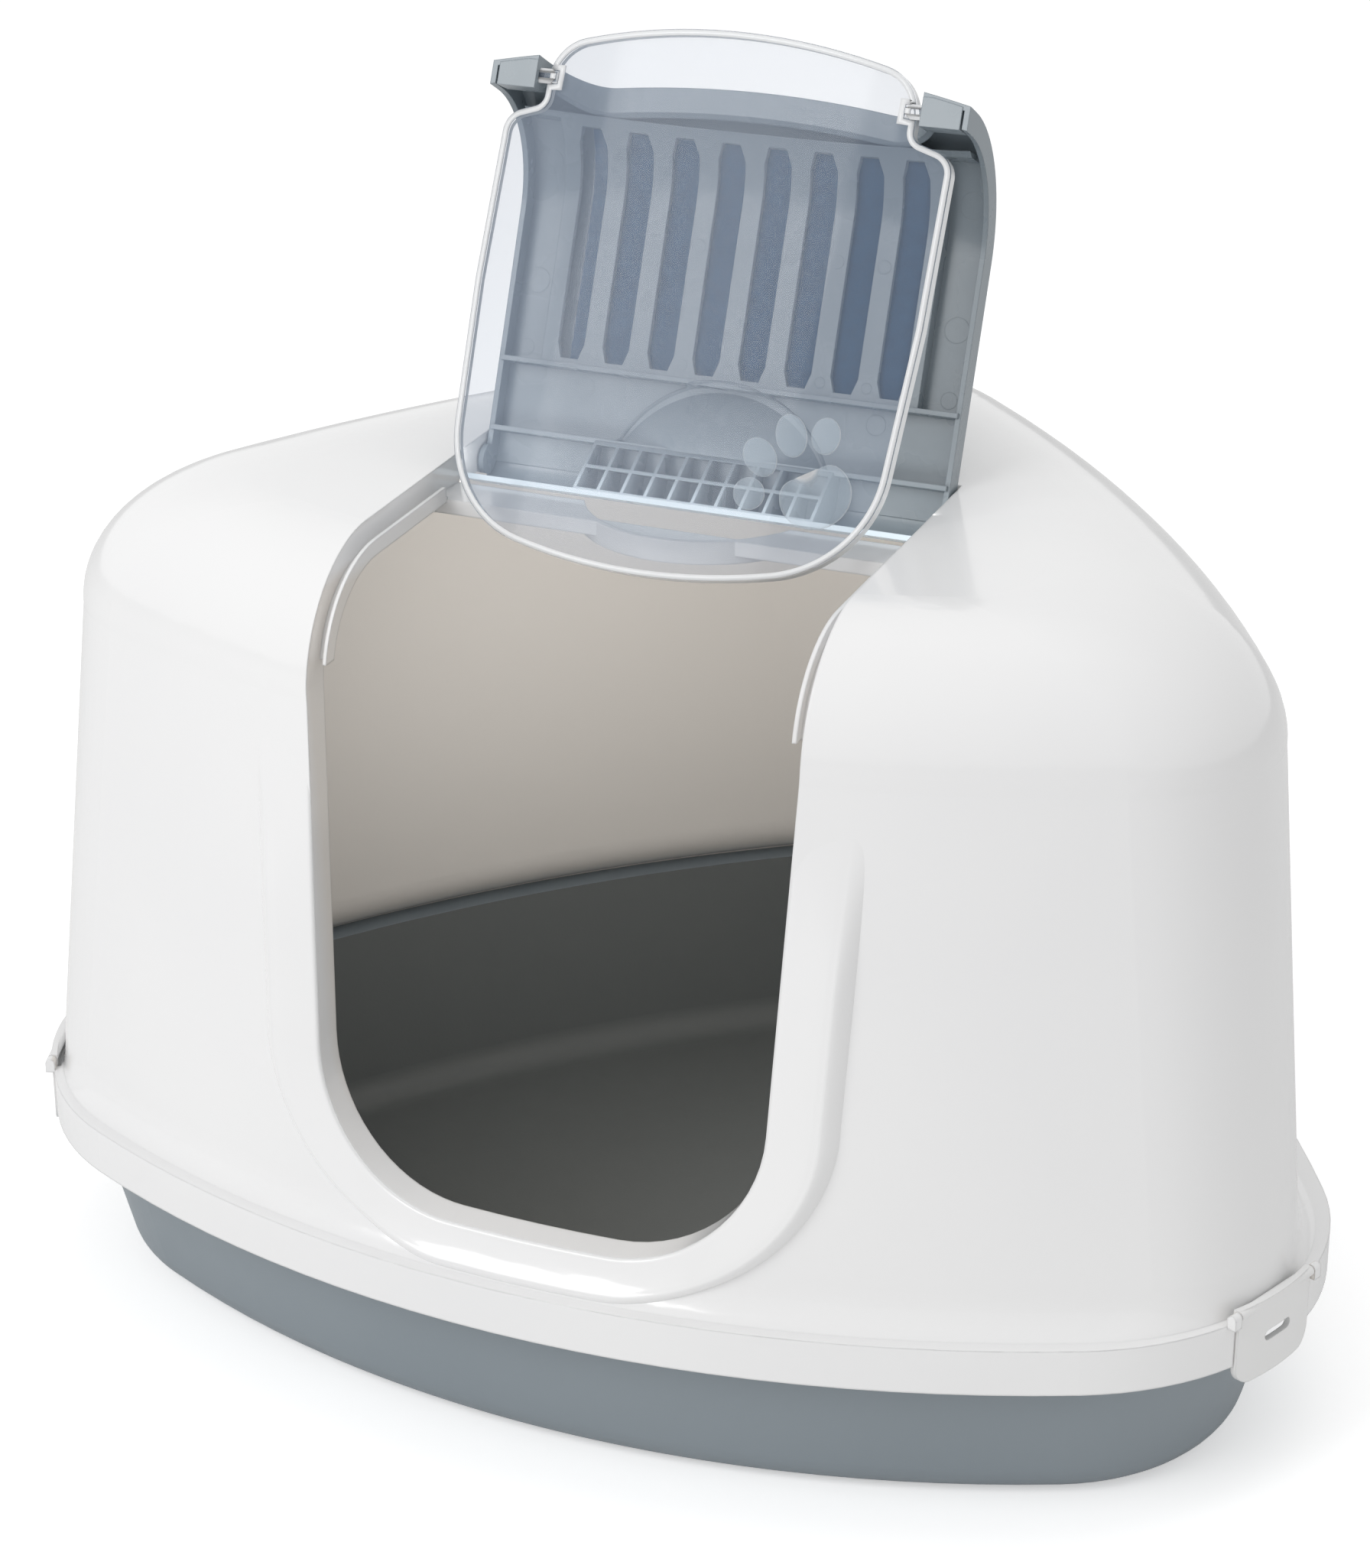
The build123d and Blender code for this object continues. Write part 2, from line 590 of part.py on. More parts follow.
foot_low = TOP_HEIGHT - PANEL_FOOT_DEPTH
grip_half = (GRIP_PITCH * GRIP_CELLS + GRIP_WALL) / 2
grip_front = GRIP_RIB_Y + RIB_WALL / 2
grip_back = HINGE_Y + foot_in
grip_rows = (grip_back - GRIP_RIB_Y - RIB_WALL) / 2

with BuildPart(mode=Mode.PRIVATE) as foot:
    with BuildSketch(Plane.YZ.offset(-PANEL_HALF)):
        with BuildLine():
            RadiusArc((HINGE_Y, HINGE_Z + FOOT_RADIUS), (HINGE_Y + FOOT_RADIUS, HINGE_Z), FOOT_RADIUS)
            Polyline(
                (HINGE_Y + FOOT_RADIUS, HINGE_Z),
                (HINGE_Y + FOOT_RADIUS, foot_low),
                (HINGE_Y + foot_in, foot_low),
                (HINGE_Y + foot_in, HINGE_Z),
            )
            RadiusArc((HINGE_Y + foot_in, HINGE_Z), (HINGE_Y, HINGE_Z + foot_in), -foot_in)
            Polyline(
                (HINGE_Y, HINGE_Z + foot_in),
                (HINGE_Y - PANEL_SKIN, HINGE_Z + foot_in),
                (HINGE_Y - PANEL_SKIN, HINGE_Z + FOOT_RADIUS),
                (HINGE_Y, HINGE_Z + FOOT_RADIUS),
            )
        make_face()
    extrude(amount=PANEL_WIDTH)

with BuildPart(mode=Mode.PRIVATE) as grip:
    with BuildSketch(Plane.YZ.offset(-grip_half)):
        with BuildLine():
            Polyline(
                (grip_front, TOP_HEIGHT - PANEL_SKIN / 2),
                (grip_front, GRIP_END_Z),
                (grip_back + PANEL_SKIN / 2, foot_low),
                (grip_back + PANEL_SKIN / 2, HINGE_Z),
                (HINGE_Y, TOP_HEIGHT - PANEL_SKIN / 2),
                close=True,
            )
        make_face()
    extrude(amount=2 * grip_half)
    with BuildSketch(Plane.XY.offset(foot_low - 1)):
        with Locations((0, (grip_back + GRIP_RIB_Y + RIB_WALL) / 2)):
            with GridLocations(GRIP_PITCH, grip_rows, GRIP_CELLS, 2):
                Rectangle(GRIP_PITCH - GRIP_WALL, grip_rows - GRIP_WALL)
    extrude(amount=HINGE_Z + foot_in / 2 - foot_low, mode=Mode.SUBTRACT)


def slots(width, end_width, clear):
    """The tapered slots between the pocket's bars, as prisms along Z."""
    low = POCKET_FRONT_Y + clear
    high = POCKET_BACK_Y - clear
    with BuildPart(mode=Mode.PRIVATE) as rows:
        with BuildSketch(Plane.XY.offset(DOOR_PIN_Z)):
            with BuildLine():
                Polyline(
                    (end_width / 2, low),
                    (width / 2, low + BAR_END_WIDTH / 2),
                    (width / 2, high - BAR_END_WIDTH / 2),
                    (end_width / 2, high),
                    (-end_width / 2, high),
                    (-width / 2, high - BAR_END_WIDTH / 2),
                    (-width / 2, low + BAR_END_WIDTH / 2),
                    (-end_width / 2, low),
                    close=True,
                )
            make_face()
        extrude(amount=FAR / 4)
    spots = GridLocations(BAR_PITCH, 1, BAR_COUNT + 1, 1)
    return Compound([rows.part.moved(spot) for spot in spots.local_locations])


with BuildPart() as shut_panel:
    add(skin)
    add(arch(), mode=Mode.SUBTRACT)
    add(bowl_room & bowl_zone, mode=Mode.SUBTRACT)
    add(both_sides(rim))
    add(arch_rim)
    add(frame)
    add(pocket_floor - slots(BAR_PITCH - BAR_WIDTH, BAR_PITCH - BAR_END_WIDTH, FRAME_WALL))
    add(both_sides(front_rib))
    add(pocket_rib)
    add(grip_rib)
    add((bowl_shell - bowl_room) & bowl_zone & front_form(BOWL_SINK))
    add(foot.part & front_form(FOOT_SINK))
    add(grip.part)
    add(both_sides(rod(2 * HINGE_PIN_RADIUS, PANEL_HALF - PANEL_RIM_WALL, PANEL_HALF, HINGE_Y, HINGE_Z)))
    add(
        both_sides(
            rod(HINGE_PIN_RADIUS, PANEL_HALF - 1, PANEL_HALF + HINGE_PIN_REACH, HINGE_Y, HINGE_Z)
        )
    )
    add(both_sides(socket))
    add(
        both_sides(
            rod(
                DOOR_PIN_RADIUS + RUNNING_GAP,
                LOBE_WIDTH / 2,
                DOOR_PIN_TIP + PANEL_GAP / 2,
                DOOR_PIN_Y,
                DOOR_PIN_Z,
            )
        ),
        mode=Mode.SUBTRACT,
    )

with BuildPart() as top_panel:
    add(opened(shut_panel.part))
top_panel.part.label = "top_panel"

# ---- filter cover and filter pad in the panel's pocket
cover_zone = block(
    (-pocket_half + COVER_GAP, pocket_half - COVER_GAP),
    (POCKET_FRONT_Y + COVER_GAP, POCKET_BACK_Y - COVER_GAP),
    above,
)
cover_slots = slots(BAR_PITCH - COVER_BAR_WIDTH, BAR_PITCH - COVER_BAR_END_WIDTH, BAR_WIDTH)
with BuildPart() as filter_cover:
    add(opened((band(0, COVER_SKIN) & cover_zone) - cover_slots))
filter_cover.part.label = "filter_cover"

pad_zone = block(
    (-pocket_half + BAR_WIDTH, pocket_half - BAR_WIDTH / 2),
    (POCKET_FRONT_Y + COVER_GAP, POCKET_BACK_Y - COVER_GAP),
    above,
)
with BuildPart() as carbon_filter:
    add(opened(band(COVER_SKIN + FILTER_FIT / 2, floor_depth - FILTER_FIT / 2) & pad_zone))
carbon_filter.part.label = "carbon_filter"

# ---- swing door: a bowed clear sheet with a rim, a lobe above its pins and two low round corners
door_half = DOOR_TOP_WIDTH / 2
lobe_half = LOBE_WIDTH / 2
door_low = DOOR_LOW_WIDTH / 2
lobe_end = LOBE_HEIGHT - LOBE_ARC + sqrt(LOBE_ARC**2 - lobe_half**2)
door_end = -DOOR_HEIGHT + DOOR_LOW_ARC - sqrt(DOOR_LOW_ARC**2 - door_low**2)
door_side = [
    (lobe_half, lobe_end),
    (lobe_half, -DOOR_NECK),
    (door_half, -DOOR_SHOULDER),
    (door_half, -DOOR_TAPER_START),
    (door_low, door_end),
]

with BuildSketch(Plane.XZ) as door_shape:
    with BuildLine():
        ThreePointArc((-lobe_half, lobe_end), (0, LOBE_HEIGHT), (lobe_half, lobe_end))
        Polyline(*door_side)
        Polyline(*[(-x, z) for x, z in door_side])
        ThreePointArc((-door_low, door_end), (0, -DOOR_HEIGHT), (door_low, door_end))
    make_face()
    for level_z, radius in (
        (door_end, DOOR_LOW_ROUND),
        (lobe_end, LOBE_ROUND),
        (-DOOR_SHOULDER, DOOR_SHOULDER_ROUND),
        (-DOOR_NECK, DOOR_RIM),
    ):
        corners = door_shape.vertices().filter_by(lambda v: abs(v.Y - level_z) < 0.01)
        fillet(corners, radius)

door_curve = (door_half**2 + DOOR_BOW**2) / (2 * DOOR_BOW)
door_front = DOOR_BOW / 3 - DOOR_BOW


def bowed(inner_step):
    """The space behind the door's bowed face, moved back by a step."""
    with BuildPart(mode=Mode.PRIVATE) as form:
        with BuildSketch(Plane.XY.offset(-FAR / 2)):
            with Locations((0, door_front + door_curve)):
                Circle(door_curve - inner_step)
        extrude(amount=FAR)
    return form.part


def door_prism(step):
    """The door's outline as a prism along Y, moved in by a step."""
    with BuildPart(mode=Mode.PRIVATE) as form:
        with BuildSketch(Plane.XZ):
            add(door_shape.sketch)
            if step:
                offset(amount=-step, mode=Mode.REPLACE)
        extrude(amount=FAR / 8, both=True)
    return form.part


with BuildPart() as hung_door:
    add(door_prism(0) & (bowed(0) - bowed(DOOR_SKIN)))
    add((door_prism(0) - door_prism(DOOR_RIM_WALL)) & (bowed(0) - bowed(DOOR_RIM)))
    add(both_sides(rod(DOOR_PIN_RADIUS, lobe_half - DOOR_RIM, DOOR_PIN_TIP, 0, 0)))

pin_reach = Vector(0, DOOR_PIN_Y - HINGE_Y, DOOR_PIN_Z - HINGE_Z)
pin_rest = Vector(0, HINGE_Y, HINGE_Z) + pin_reach.rotate(Axis.X, -OPEN_ANGLE)
with BuildPart() as swing_door:
    add(hung_door.part.rotate(Axis.X, -DOOR_TILT).moved(Location(pin_rest)))
swing_door.part.label = "swing_door"

os.makedirs("parts", exist_ok=True)
export_step(tray.part, "parts/tray.step")
export_step(hood.part, "parts/hood.step")
export_step(latch_clip_right.part, "parts/latch_clip_right.step")
export_step(latch_clip_left.part, "parts/latch_clip_left.step")
export_step(top_panel.part, "parts/top_panel.step")
export_step(filter_cover.part, "parts/filter_cover.step")
export_step(carbon_filter.part, "parts/carbon_filter.step")
export_step(swing_door.part, "parts/swing_door.step")
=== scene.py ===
# %% [markdown]
# # A corner litter box with a hood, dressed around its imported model
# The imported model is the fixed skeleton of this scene: tray, hood, top panel, filter cover, filter,
# swing door and two latch clips. This lesson gives each of them its finish, adds the forms that the
# construction model leaves out, and lights the whole as a product shot on white.

# %% Load the frame
import json
from math import cos, degrees, pi, radians, sin

import bmesh
import bpy
from mathutils import Matrix, Vector, noise
from mathutils.bvhtree import BVHTree


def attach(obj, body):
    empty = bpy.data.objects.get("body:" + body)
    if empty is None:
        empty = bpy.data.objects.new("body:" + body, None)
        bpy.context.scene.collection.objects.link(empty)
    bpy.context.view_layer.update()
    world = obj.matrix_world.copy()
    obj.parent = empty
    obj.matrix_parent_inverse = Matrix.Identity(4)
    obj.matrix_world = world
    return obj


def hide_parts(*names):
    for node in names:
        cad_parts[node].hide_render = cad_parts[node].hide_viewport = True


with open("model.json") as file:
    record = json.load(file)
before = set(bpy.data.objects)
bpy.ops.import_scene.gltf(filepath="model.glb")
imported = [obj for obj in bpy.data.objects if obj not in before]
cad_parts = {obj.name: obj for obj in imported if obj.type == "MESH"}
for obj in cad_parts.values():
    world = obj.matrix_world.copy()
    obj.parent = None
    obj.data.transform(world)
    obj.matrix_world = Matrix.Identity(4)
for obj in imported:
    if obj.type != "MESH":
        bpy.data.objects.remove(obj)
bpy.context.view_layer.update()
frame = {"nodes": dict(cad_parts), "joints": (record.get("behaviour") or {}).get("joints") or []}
joints = {joint["name"]: joint for joint in frame["joints"]}

# %% [markdown]
# ## The view
# The box is seen from a little to the right and from well above, with a long lens, so its sides
# hardly converge. The camera is turned by two angles alone: its tilt down, and its turn about Z.

# %% Camera
CAMERA_PLACE = (0.5399, -1.3082, 0.8210)
CAMERA_AZIMUTH = 23.42
CAMERA_ELEVATION = 23.55
CAMERA_LENS = 85.18
SENSOR_WIDTH = 36.0

camera_data = bpy.data.cameras.new("camera")
camera_data.lens = CAMERA_LENS
camera_data.sensor_width = SENSOR_WIDTH
camera = bpy.data.objects.new("camera", camera_data)
camera.location = CAMERA_PLACE
camera.rotation_euler = (radians(90 - CAMERA_ELEVATION), 0, radians(CAMERA_AZIMUTH))
bpy.context.scene.collection.objects.link(camera)
bpy.context.scene.camera = camera
bpy.context.scene.view_settings.view_transform = "Standard"
print("camera at", CAMERA_PLACE)

# %% [markdown]
# ## Node helpers
# Every finish here is a Principled shader fed by a few noises on object coordinates. The helpers
# only add a node, set its plain values, and link its sockets.


# %% Node helpers
def start_material(name):
    """A new material with its node tree, its Principled shader and its object coordinates."""
    material = bpy.data.materials.new(name)
    material.use_nodes = True
    tree = material.node_tree
    shader = tree.nodes["Principled BSDF"]
    place = tree.nodes.new("ShaderNodeTexCoord")
    return material, tree, shader, place


def add_node(tree, kind, **values):
    """A node of that kind with its sockets set by name, with _ for a space."""
    node = tree.nodes.new("ShaderNode" + kind)
    for name, value in values.items():
        node.inputs[name.replace("_", " ")].default_value = value
    return node


def noise_on(tree, place, scale, detail=2.0, rough=0.5):
    """A noise on object coordinates, scale waves to the metre."""
    node = add_node(tree, "TexNoise", Scale=scale, Detail=detail, Roughness=rough)
    tree.links.new(place.outputs["Object"], node.inputs["Vector"])
    return node


def spread(tree, source, low, high):
    """Turns a noise into a value from low to high."""
    node = add_node(tree, "MapRange", From_Min=0.3, From_Max=0.7, To_Min=low, To_Max=high)
    tree.links.new(source, node.inputs["Value"])
    return node.outputs["Result"]


def two_tones(tree, source, first, second):
    """A colour between two tones, after a noise."""
    ramp = tree.nodes.new("ShaderNodeValToRGB")
    ramp.color_ramp.elements[0].position = 0.3
    ramp.color_ramp.elements[1].position = 0.7
    ramp.color_ramp.elements[0].color = (*first, 1)
    ramp.color_ramp.elements[1].color = (*second, 1)
    tree.links.new(source, ramp.inputs["Fac"])
    return ramp.outputs["Color"]


def combine(tree, operation, *sources):
    """The outcome of a Math node on one or two values."""
    node = add_node(tree, "Math")
    node.operation = operation
    for socket, source in zip(node.inputs, sources):
        tree.links.new(source, socket)
    return node.outputs["Value"]


def towards(tree, colour, tone, factor):
    """A colour that turns to a plain tone as the factor goes to 1."""
    node = tree.nodes.new("ShaderNodeMix")
    node.data_type = "RGBA"
    node.inputs["B"].default_value = (*tone, 1)
    tree.links.new(factor, node.inputs["Factor"])
    tree.links.new(colour, node.inputs["A"])
    return node.outputs["Result"]


def step(tree, source, low, high, rising=True):
    """0 to 1, or 1 to 0, as a value goes from low to high."""
    ends = (0.0, 1.0) if rising else (1.0, 0.0)
    node = add_node(tree, "MapRange", From_Min=low, From_Max=high, To_Min=ends[0], To_Max=ends[1])
    tree.links.new(source, node.inputs["Value"])
    return node.outputs["Result"]


print("helpers ready")

# %% [markdown]
# ## Moulded plastic
# The tray, hood, panel and clips are injection moulded polypropylene. Its colour drifts a little
# over a large part, its gloss varies where the mould was polished, and close up the skin has a
# faint waviness. Where the skin faces the middle of the box, behind the front wall and under the
# top, a finish may turn to a darker inside tone: painted shade inside the box.


# %% Painted inner shade
INNER_SHADE_FRONT_Y = -0.19
INNER_SHADE_TOP_Z = 0.34
INNER_SHADE_BLEND = 0.005
INNER_SHADE_TURN = (0.005, 0.02)


def painted_inner_shade(tree, place, colour, inside):
    """Painted shade: a darker inside tone where the skin faces the middle, behind the front wall and
    under the top.
    """
    facing = add_node(tree, "VectorMath")
    facing.operation = "DOT_PRODUCT"
    tree.links.new(place.outputs["Object"], facing.inputs[0])
    tree.links.new(place.outputs["Normal"], facing.inputs[1])
    axes = tree.nodes.new("ShaderNodeSeparateXYZ")
    tree.links.new(place.outputs["Object"], axes.inputs["Vector"])
    turned = step(tree, facing.outputs["Value"], *INNER_SHADE_TURN, rising=False)
    behind = step(tree, axes.outputs["Y"], INNER_SHADE_FRONT_Y - INNER_SHADE_BLEND, INNER_SHADE_FRONT_Y + INNER_SHADE_BLEND)
    under = step(tree, axes.outputs["Z"], INNER_SHADE_TOP_Z - INNER_SHADE_BLEND, INNER_SHADE_TOP_Z, rising=False)
    share = combine(tree, "MULTIPLY", combine(tree, "MULTIPLY", turned, behind), under)
    return towards(tree, colour, inside, share)


print("core side helper ready")


# %% Moulded plastic
def plastic(name, first, second, gloss, skin_scale, skin_height, edge, inside=None):
    """A moulded finish: two near tones, a gloss range, a wavy skin and softened edges."""
    material, tree, shader, place = start_material(name)
    drift = noise_on(tree, place, 6.0)
    colour = two_tones(tree, drift.outputs["Fac"], first, second)
    polish = noise_on(tree, place, 45.0, detail=3.0)
    roughness = spread(tree, polish.outputs["Fac"], *gloss)
    # Painted shade: an inside tone, if given, darkens the skin that faces the middle of the box.
    if inside:
        colour = painted_inner_shade(tree, place, colour, inside)
    skin = noise_on(tree, place, skin_scale, detail=1.0)
    rounding = add_node(tree, "Bevel", Radius=edge)
    rounding.samples = 4
    bump = add_node(tree, "Bump", Strength=0.4, Distance=skin_height)
    tree.links.new(skin.outputs["Fac"], bump.inputs["Height"])
    tree.links.new(rounding.outputs["Normal"], bump.inputs["Normal"])
    tree.links.new(colour, shader.inputs["Base Color"])
    tree.links.new(roughness, shader.inputs["Roughness"])
    tree.links.new(bump.outputs["Normal"], shader.inputs["Normal"])
    return material


# The hood's inside tone is painted shade: a warm grey, darker than its outside.
hood_finish = plastic(
    "hood_gloss_white", (0.83, 0.83, 0.835), (0.86, 0.86, 0.86), gloss=(0.13, 0.19),
    skin_scale=70.0, skin_height=0.00012, edge=0.0012, inside=(0.80, 0.765, 0.725),
)
hood_shader = hood_finish.node_tree.nodes["Principled BSDF"]
hood_shader.inputs["Coat Weight"].default_value = 0.3
hood_shader.inputs["Coat Roughness"].default_value = 0.06
clip_finish = plastic(
    "clip_satin_white", (0.80, 0.80, 0.80), (0.84, 0.84, 0.835), gloss=(0.30, 0.38),
    skin_scale=600.0, skin_height=0.00005, edge=0.0006,
)
# The tray's inside tone is painted shade, about half as bright as its outside.
tray_finish = plastic(
    "tray_satin_grey", (0.255, 0.295, 0.325), (0.275, 0.315, 0.345), gloss=(0.33, 0.42),
    skin_scale=900.0, skin_height=0.00006, edge=0.0008, inside=(0.13, 0.14, 0.14),
)
panel_finish = plastic(
    "panel_grey", (0.235, 0.275, 0.305), (0.255, 0.295, 0.325), gloss=(0.24, 0.32),
    skin_scale=300.0, skin_height=0.00004, edge=0.0005,
)
print("plastics", hood_finish.name, clip_finish.name, tray_finish.name, panel_finish.name)

# %% [markdown]
# ## The swing door's clear plastic
# The door is natural polypropylene: clear enough to see the bars behind it, but milky. Alpha lets
# the things behind show sharply, and the milkiness is the shader's own pale colour. A clear sheet
# seen along its skin hides more, so a Layer Weight makes the bowed sides denser, and the upright
# walls of the rim, whose normals lie across the sheet, are denser from every side. The same
# finish, much denser, is the milky strip along the door's edge, and rougher, it is the print.


# %% Door plastic
DOOR_LEAN = radians(27.0)
GRAZING = 0.22
WALL_TURN = (0.45, 0.80)
PLASTIC_IOR = 1.49
door_out = Vector((0, -cos(DOOR_LEAN), sin(DOOR_LEAN)))


def clear_plastic(name, tone, wall_tone, thin, dense, gloss):
    """A clear finish whose alpha and tone go from thin, face on, to milky, on walls and edges."""
    material, tree, shader, place = start_material(name)
    drift = noise_on(tree, place, 14.0)
    colour = two_tones(tree, drift.outputs["Fac"], tone, tuple(0.96 * part for part in tone))
    streaks = noise_on(tree, place, 30.0, detail=4.0)
    weight = add_node(tree, "LayerWeight", Blend=GRAZING)
    alpha = add_node(tree, "MapRange", From_Min=0.0, From_Max=1.0, To_Min=thin, To_Max=dense)
    across = add_node(tree, "VectorMath")
    across.operation = "DOT_PRODUCT"
    across.inputs[1].default_value = door_out
    tree.links.new(place.outputs["Normal"], across.inputs[0])
    flat = combine(tree, "ABSOLUTE", across.outputs["Value"])
    wall = step(tree, flat, *WALL_TURN, rising=False)
    densest = combine(tree, "MAXIMUM", wall, weight.outputs["Facing"])
    tree.links.new(densest, alpha.inputs["Value"])
    milk = towards(tree, colour, wall_tone, densest)
    tree.links.new(milk, shader.inputs["Base Color"])
    tree.links.new(alpha.outputs["Result"], shader.inputs["Alpha"])
    tree.links.new(spread(tree, streaks.outputs["Fac"], *gloss), shader.inputs["Roughness"])
    shader.inputs["IOR"].default_value = PLASTIC_IOR
    return material


MILK = (0.93, 0.94, 0.95)
door_finish = clear_plastic(
    "door_milky_clear", (0.34, 0.42, 0.55), MILK, thin=0.15, dense=0.90, gloss=(0.05, 0.10)
)
rim_finish = clear_plastic(
    "door_milky_rim", MILK, MILK, thin=0.80, dense=0.92, gloss=(0.10, 0.16)
)
frost_finish = clear_plastic(
    "door_frosted_print", (0.62, 0.72, 0.80), MILK, thin=0.22, dense=0.60, gloss=(0.45, 0.60)
)
print("clear", door_finish.name, rim_finish.name, frost_finish.name)

# %% [markdown]
# ## Carried-over pieces
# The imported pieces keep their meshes, and only their material slots are filled again.

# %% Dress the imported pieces
finishes = {
    "tray": tray_finish,
    "hood": hood_finish,
    "top_panel": panel_finish,
    "filter_cover": panel_finish,
    "swing_door": door_finish,
    "latch_clip_right": clip_finish,
    "latch_clip_left": clip_finish,
}
for name, finish in finishes.items():
    node = frame["nodes"][name]
    node.data.materials.clear()
    node.data.materials.append(finish)
    print(name, "wears", finish.name)

# %% [markdown]
# ## Laying a form on a packed skin
# Most of the small forms below sit on skins that the construction model already has. A tree of a
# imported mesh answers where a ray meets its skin, so such a form is drawn flat, and its points are
# then dropped along one direction on to the skin, each with its own height over it. A sheet gets
# its thickness last, so that every piece is closed.


# %% Skins
def skin_of(node_name):
    """A ray-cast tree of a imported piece."""
    mesh = frame["nodes"][node_name].data
    corners = [vertex.co.copy() for vertex in mesh.vertices]
    return BVHTree.FromPolygons(corners, [tuple(face.vertices) for face in mesh.polygons])


def drop(skin, start, direction, height):
    """The point where a ray from start meets the skin, moved back by height."""
    hit = skin.ray_cast(start, direction)[0]
    if hit is None:
        return None
    return hit - direction.normalized() * height


def thicken(form, back):
    """Closes a sheet: a copy of it moves back, and walls join the two."""
    base = bmesh.ops.extrude_face_region(form, geom=form.faces[:])
    moved = [item for item in base["geom"] if isinstance(item, bmesh.types.BMVert)]
    bmesh.ops.translate(form, verts=moved, vec=back)


def make_piece(name, form, finish, body):
    """Turns a bmesh into a finished piece that rides on a body."""
    bmesh.ops.remove_doubles(form, verts=form.verts, dist=1e-6)
    bmesh.ops.recalc_face_normals(form, faces=form.faces)
    data = bpy.data.meshes.new(name)
    form.to_mesh(data)
    form.free()
    for face in data.polygons:
        face.use_smooth = True
    piece = bpy.data.objects.new(name, data)
    piece.data.materials.append(finish)
    bpy.context.scene.collection.objects.link(piece)
    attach(piece, body)
    print(name, len(data.polygons), "faces on", body)


hood_skin = skin_of("hood")
panel_skin = skin_of("top_panel")
door_skin = skin_of("swing_door")
print("skins of hood, panel and door")

# %% [markdown]
# ## The collar of the entrance
# The edge of the entrance is stiffened by a collar: a broad facet that rises from the opening to a
# round ridge, and falls back into the hood's skin. It runs down one side, round the two low
# corners and up the other side, and fades out at both top ends. A grid of a few strips across and
# many along takes this form: each of its points is placed by how far along and how far out it is.

# %% Collar path
SILL_Z = 0.102
COLLAR_TOP_Z = 0.292
LOW_HALF = 0.090
HIGH_HALF = 0.099
HIGH_Z = 0.300
CORNER = 0.060


def entrance_side_x(z):
    """Half width of the entrance at a height."""
    return LOW_HALF + (HIGH_HALF - LOW_HALF) * (z - SILL_Z) / (HIGH_Z - SILL_Z)


def entrance_point(share):
    """A point of the outline's right half, and the way out from it; 0 is the middle of the sill."""
    lean = (HIGH_HALF - LOW_HALF) / (HIGH_Z - SILL_Z)
    flat = entrance_side_x(SILL_Z + CORNER) - CORNER
    side = COLLAR_TOP_Z - SILL_Z - CORNER
    whole = flat + CORNER * pi / 2 + side
    way = share * whole
    if way <= flat:
        return Vector((way, 0, SILL_Z)), Vector((0, 0, -1))
    if way <= flat + CORNER * pi / 2:
        turn = (way - flat) / CORNER
        out = Vector((sin(turn), 0, -cos(turn)))
        return Vector((flat, 0, SILL_Z + CORNER)) + out * CORNER, out
    z = SILL_Z + CORNER + way - flat - CORNER * pi / 2
    return Vector((entrance_side_x(z), 0, z)), Vector((1, 0, -lean)).normalized()


print("sill", SILL_Z, "top", COLLAR_TOP_Z)

# %% Collar
FACET = (0.020, 0.012)
BLEND = (0.0065, 0.0040)
RIDGE = (0.0052, 0.0030)
COLLAR_GAP = 0.0004
EDGE_RISE = 0.0003
SINK = 0.0012
TUCK = 0.0016
CORNER_POWER = 1.4
FALL_POWER = 1.8
CREST = 0.06
FACET_SHARE = 0.5
FADE = 0.30
FADE_SINK = 0.0005
ALONG = 150
ACROSS = 26
START_Y = -0.4
DEEPEST_Y = -0.12


def from_side_to_sill(pair, out):
    """A size that goes from the sides of the entrance, first, to its sill, last."""
    share = max(0.0, -out.z)
    return pair[0] + (pair[1] - pair[0]) * share**CORNER_POWER


def collar_shape(across, out):
    """Distance out from the opening and height over the skin; across goes from 0 to 1."""
    facet, blend = from_side_to_sill(FACET, out), from_side_to_sill(BLEND, out)
    ridge = from_side_to_sill(RIDGE, out)
    if across <= FACET_SHARE:
        share = across / FACET_SHARE
        lift = min(1.0, (1 + CREST) * share) - CREST * share**6
        return facet * share, EDGE_RISE + (ridge - EDGE_RISE) * lift
    fall = (across - FACET_SHARE) / (1 - FACET_SHARE)
    return facet + blend * fall, (ridge + SINK) * (1 - fall**FALL_POWER) - SINK


collar_form = bmesh.new()
bmesh.ops.create_grid(collar_form, x_segments=ALONG, y_segments=ACROSS, size=1.0)
lost = []
for vertex in collar_form.verts:
    along = vertex.co.x
    point, out = entrance_point(abs(along))
    if along < 0:
        point.x, out.x = -point.x, -out.x
    reach, rise = collar_shape((vertex.co.y + 1) / 2, out)
    point = point + out * (COLLAR_GAP + reach)
    fade = min(1.0, (1 - abs(along)) / FADE)
    rise = (rise + FADE_SINK) * 0.5 * (1 - cos(fade * pi)) - FADE_SINK * (1 - fade)
    landed = drop(hood_skin, Vector((point.x, START_Y, point.z)), Vector((0, 1, 0)), rise)
    if landed is None or landed.y > DEEPEST_Y:
        lost.append(vertex)
    else:
        vertex.co = landed
bmesh.ops.delete(collar_form, geom=lost, context="VERTS")
thicken(collar_form, Vector((0, RIDGE[0] + TUCK, 0)))
print("collar points lost", len(lost))
make_piece("entrance_collar", collar_form, hood_finish, "hood")

# %% [markdown]
# ## Places on the open panel and on the door
# The panel and the door are modelled as they stand open. Two small frames turn a place on them,
# across, along and out from the skin, into a place in the room.

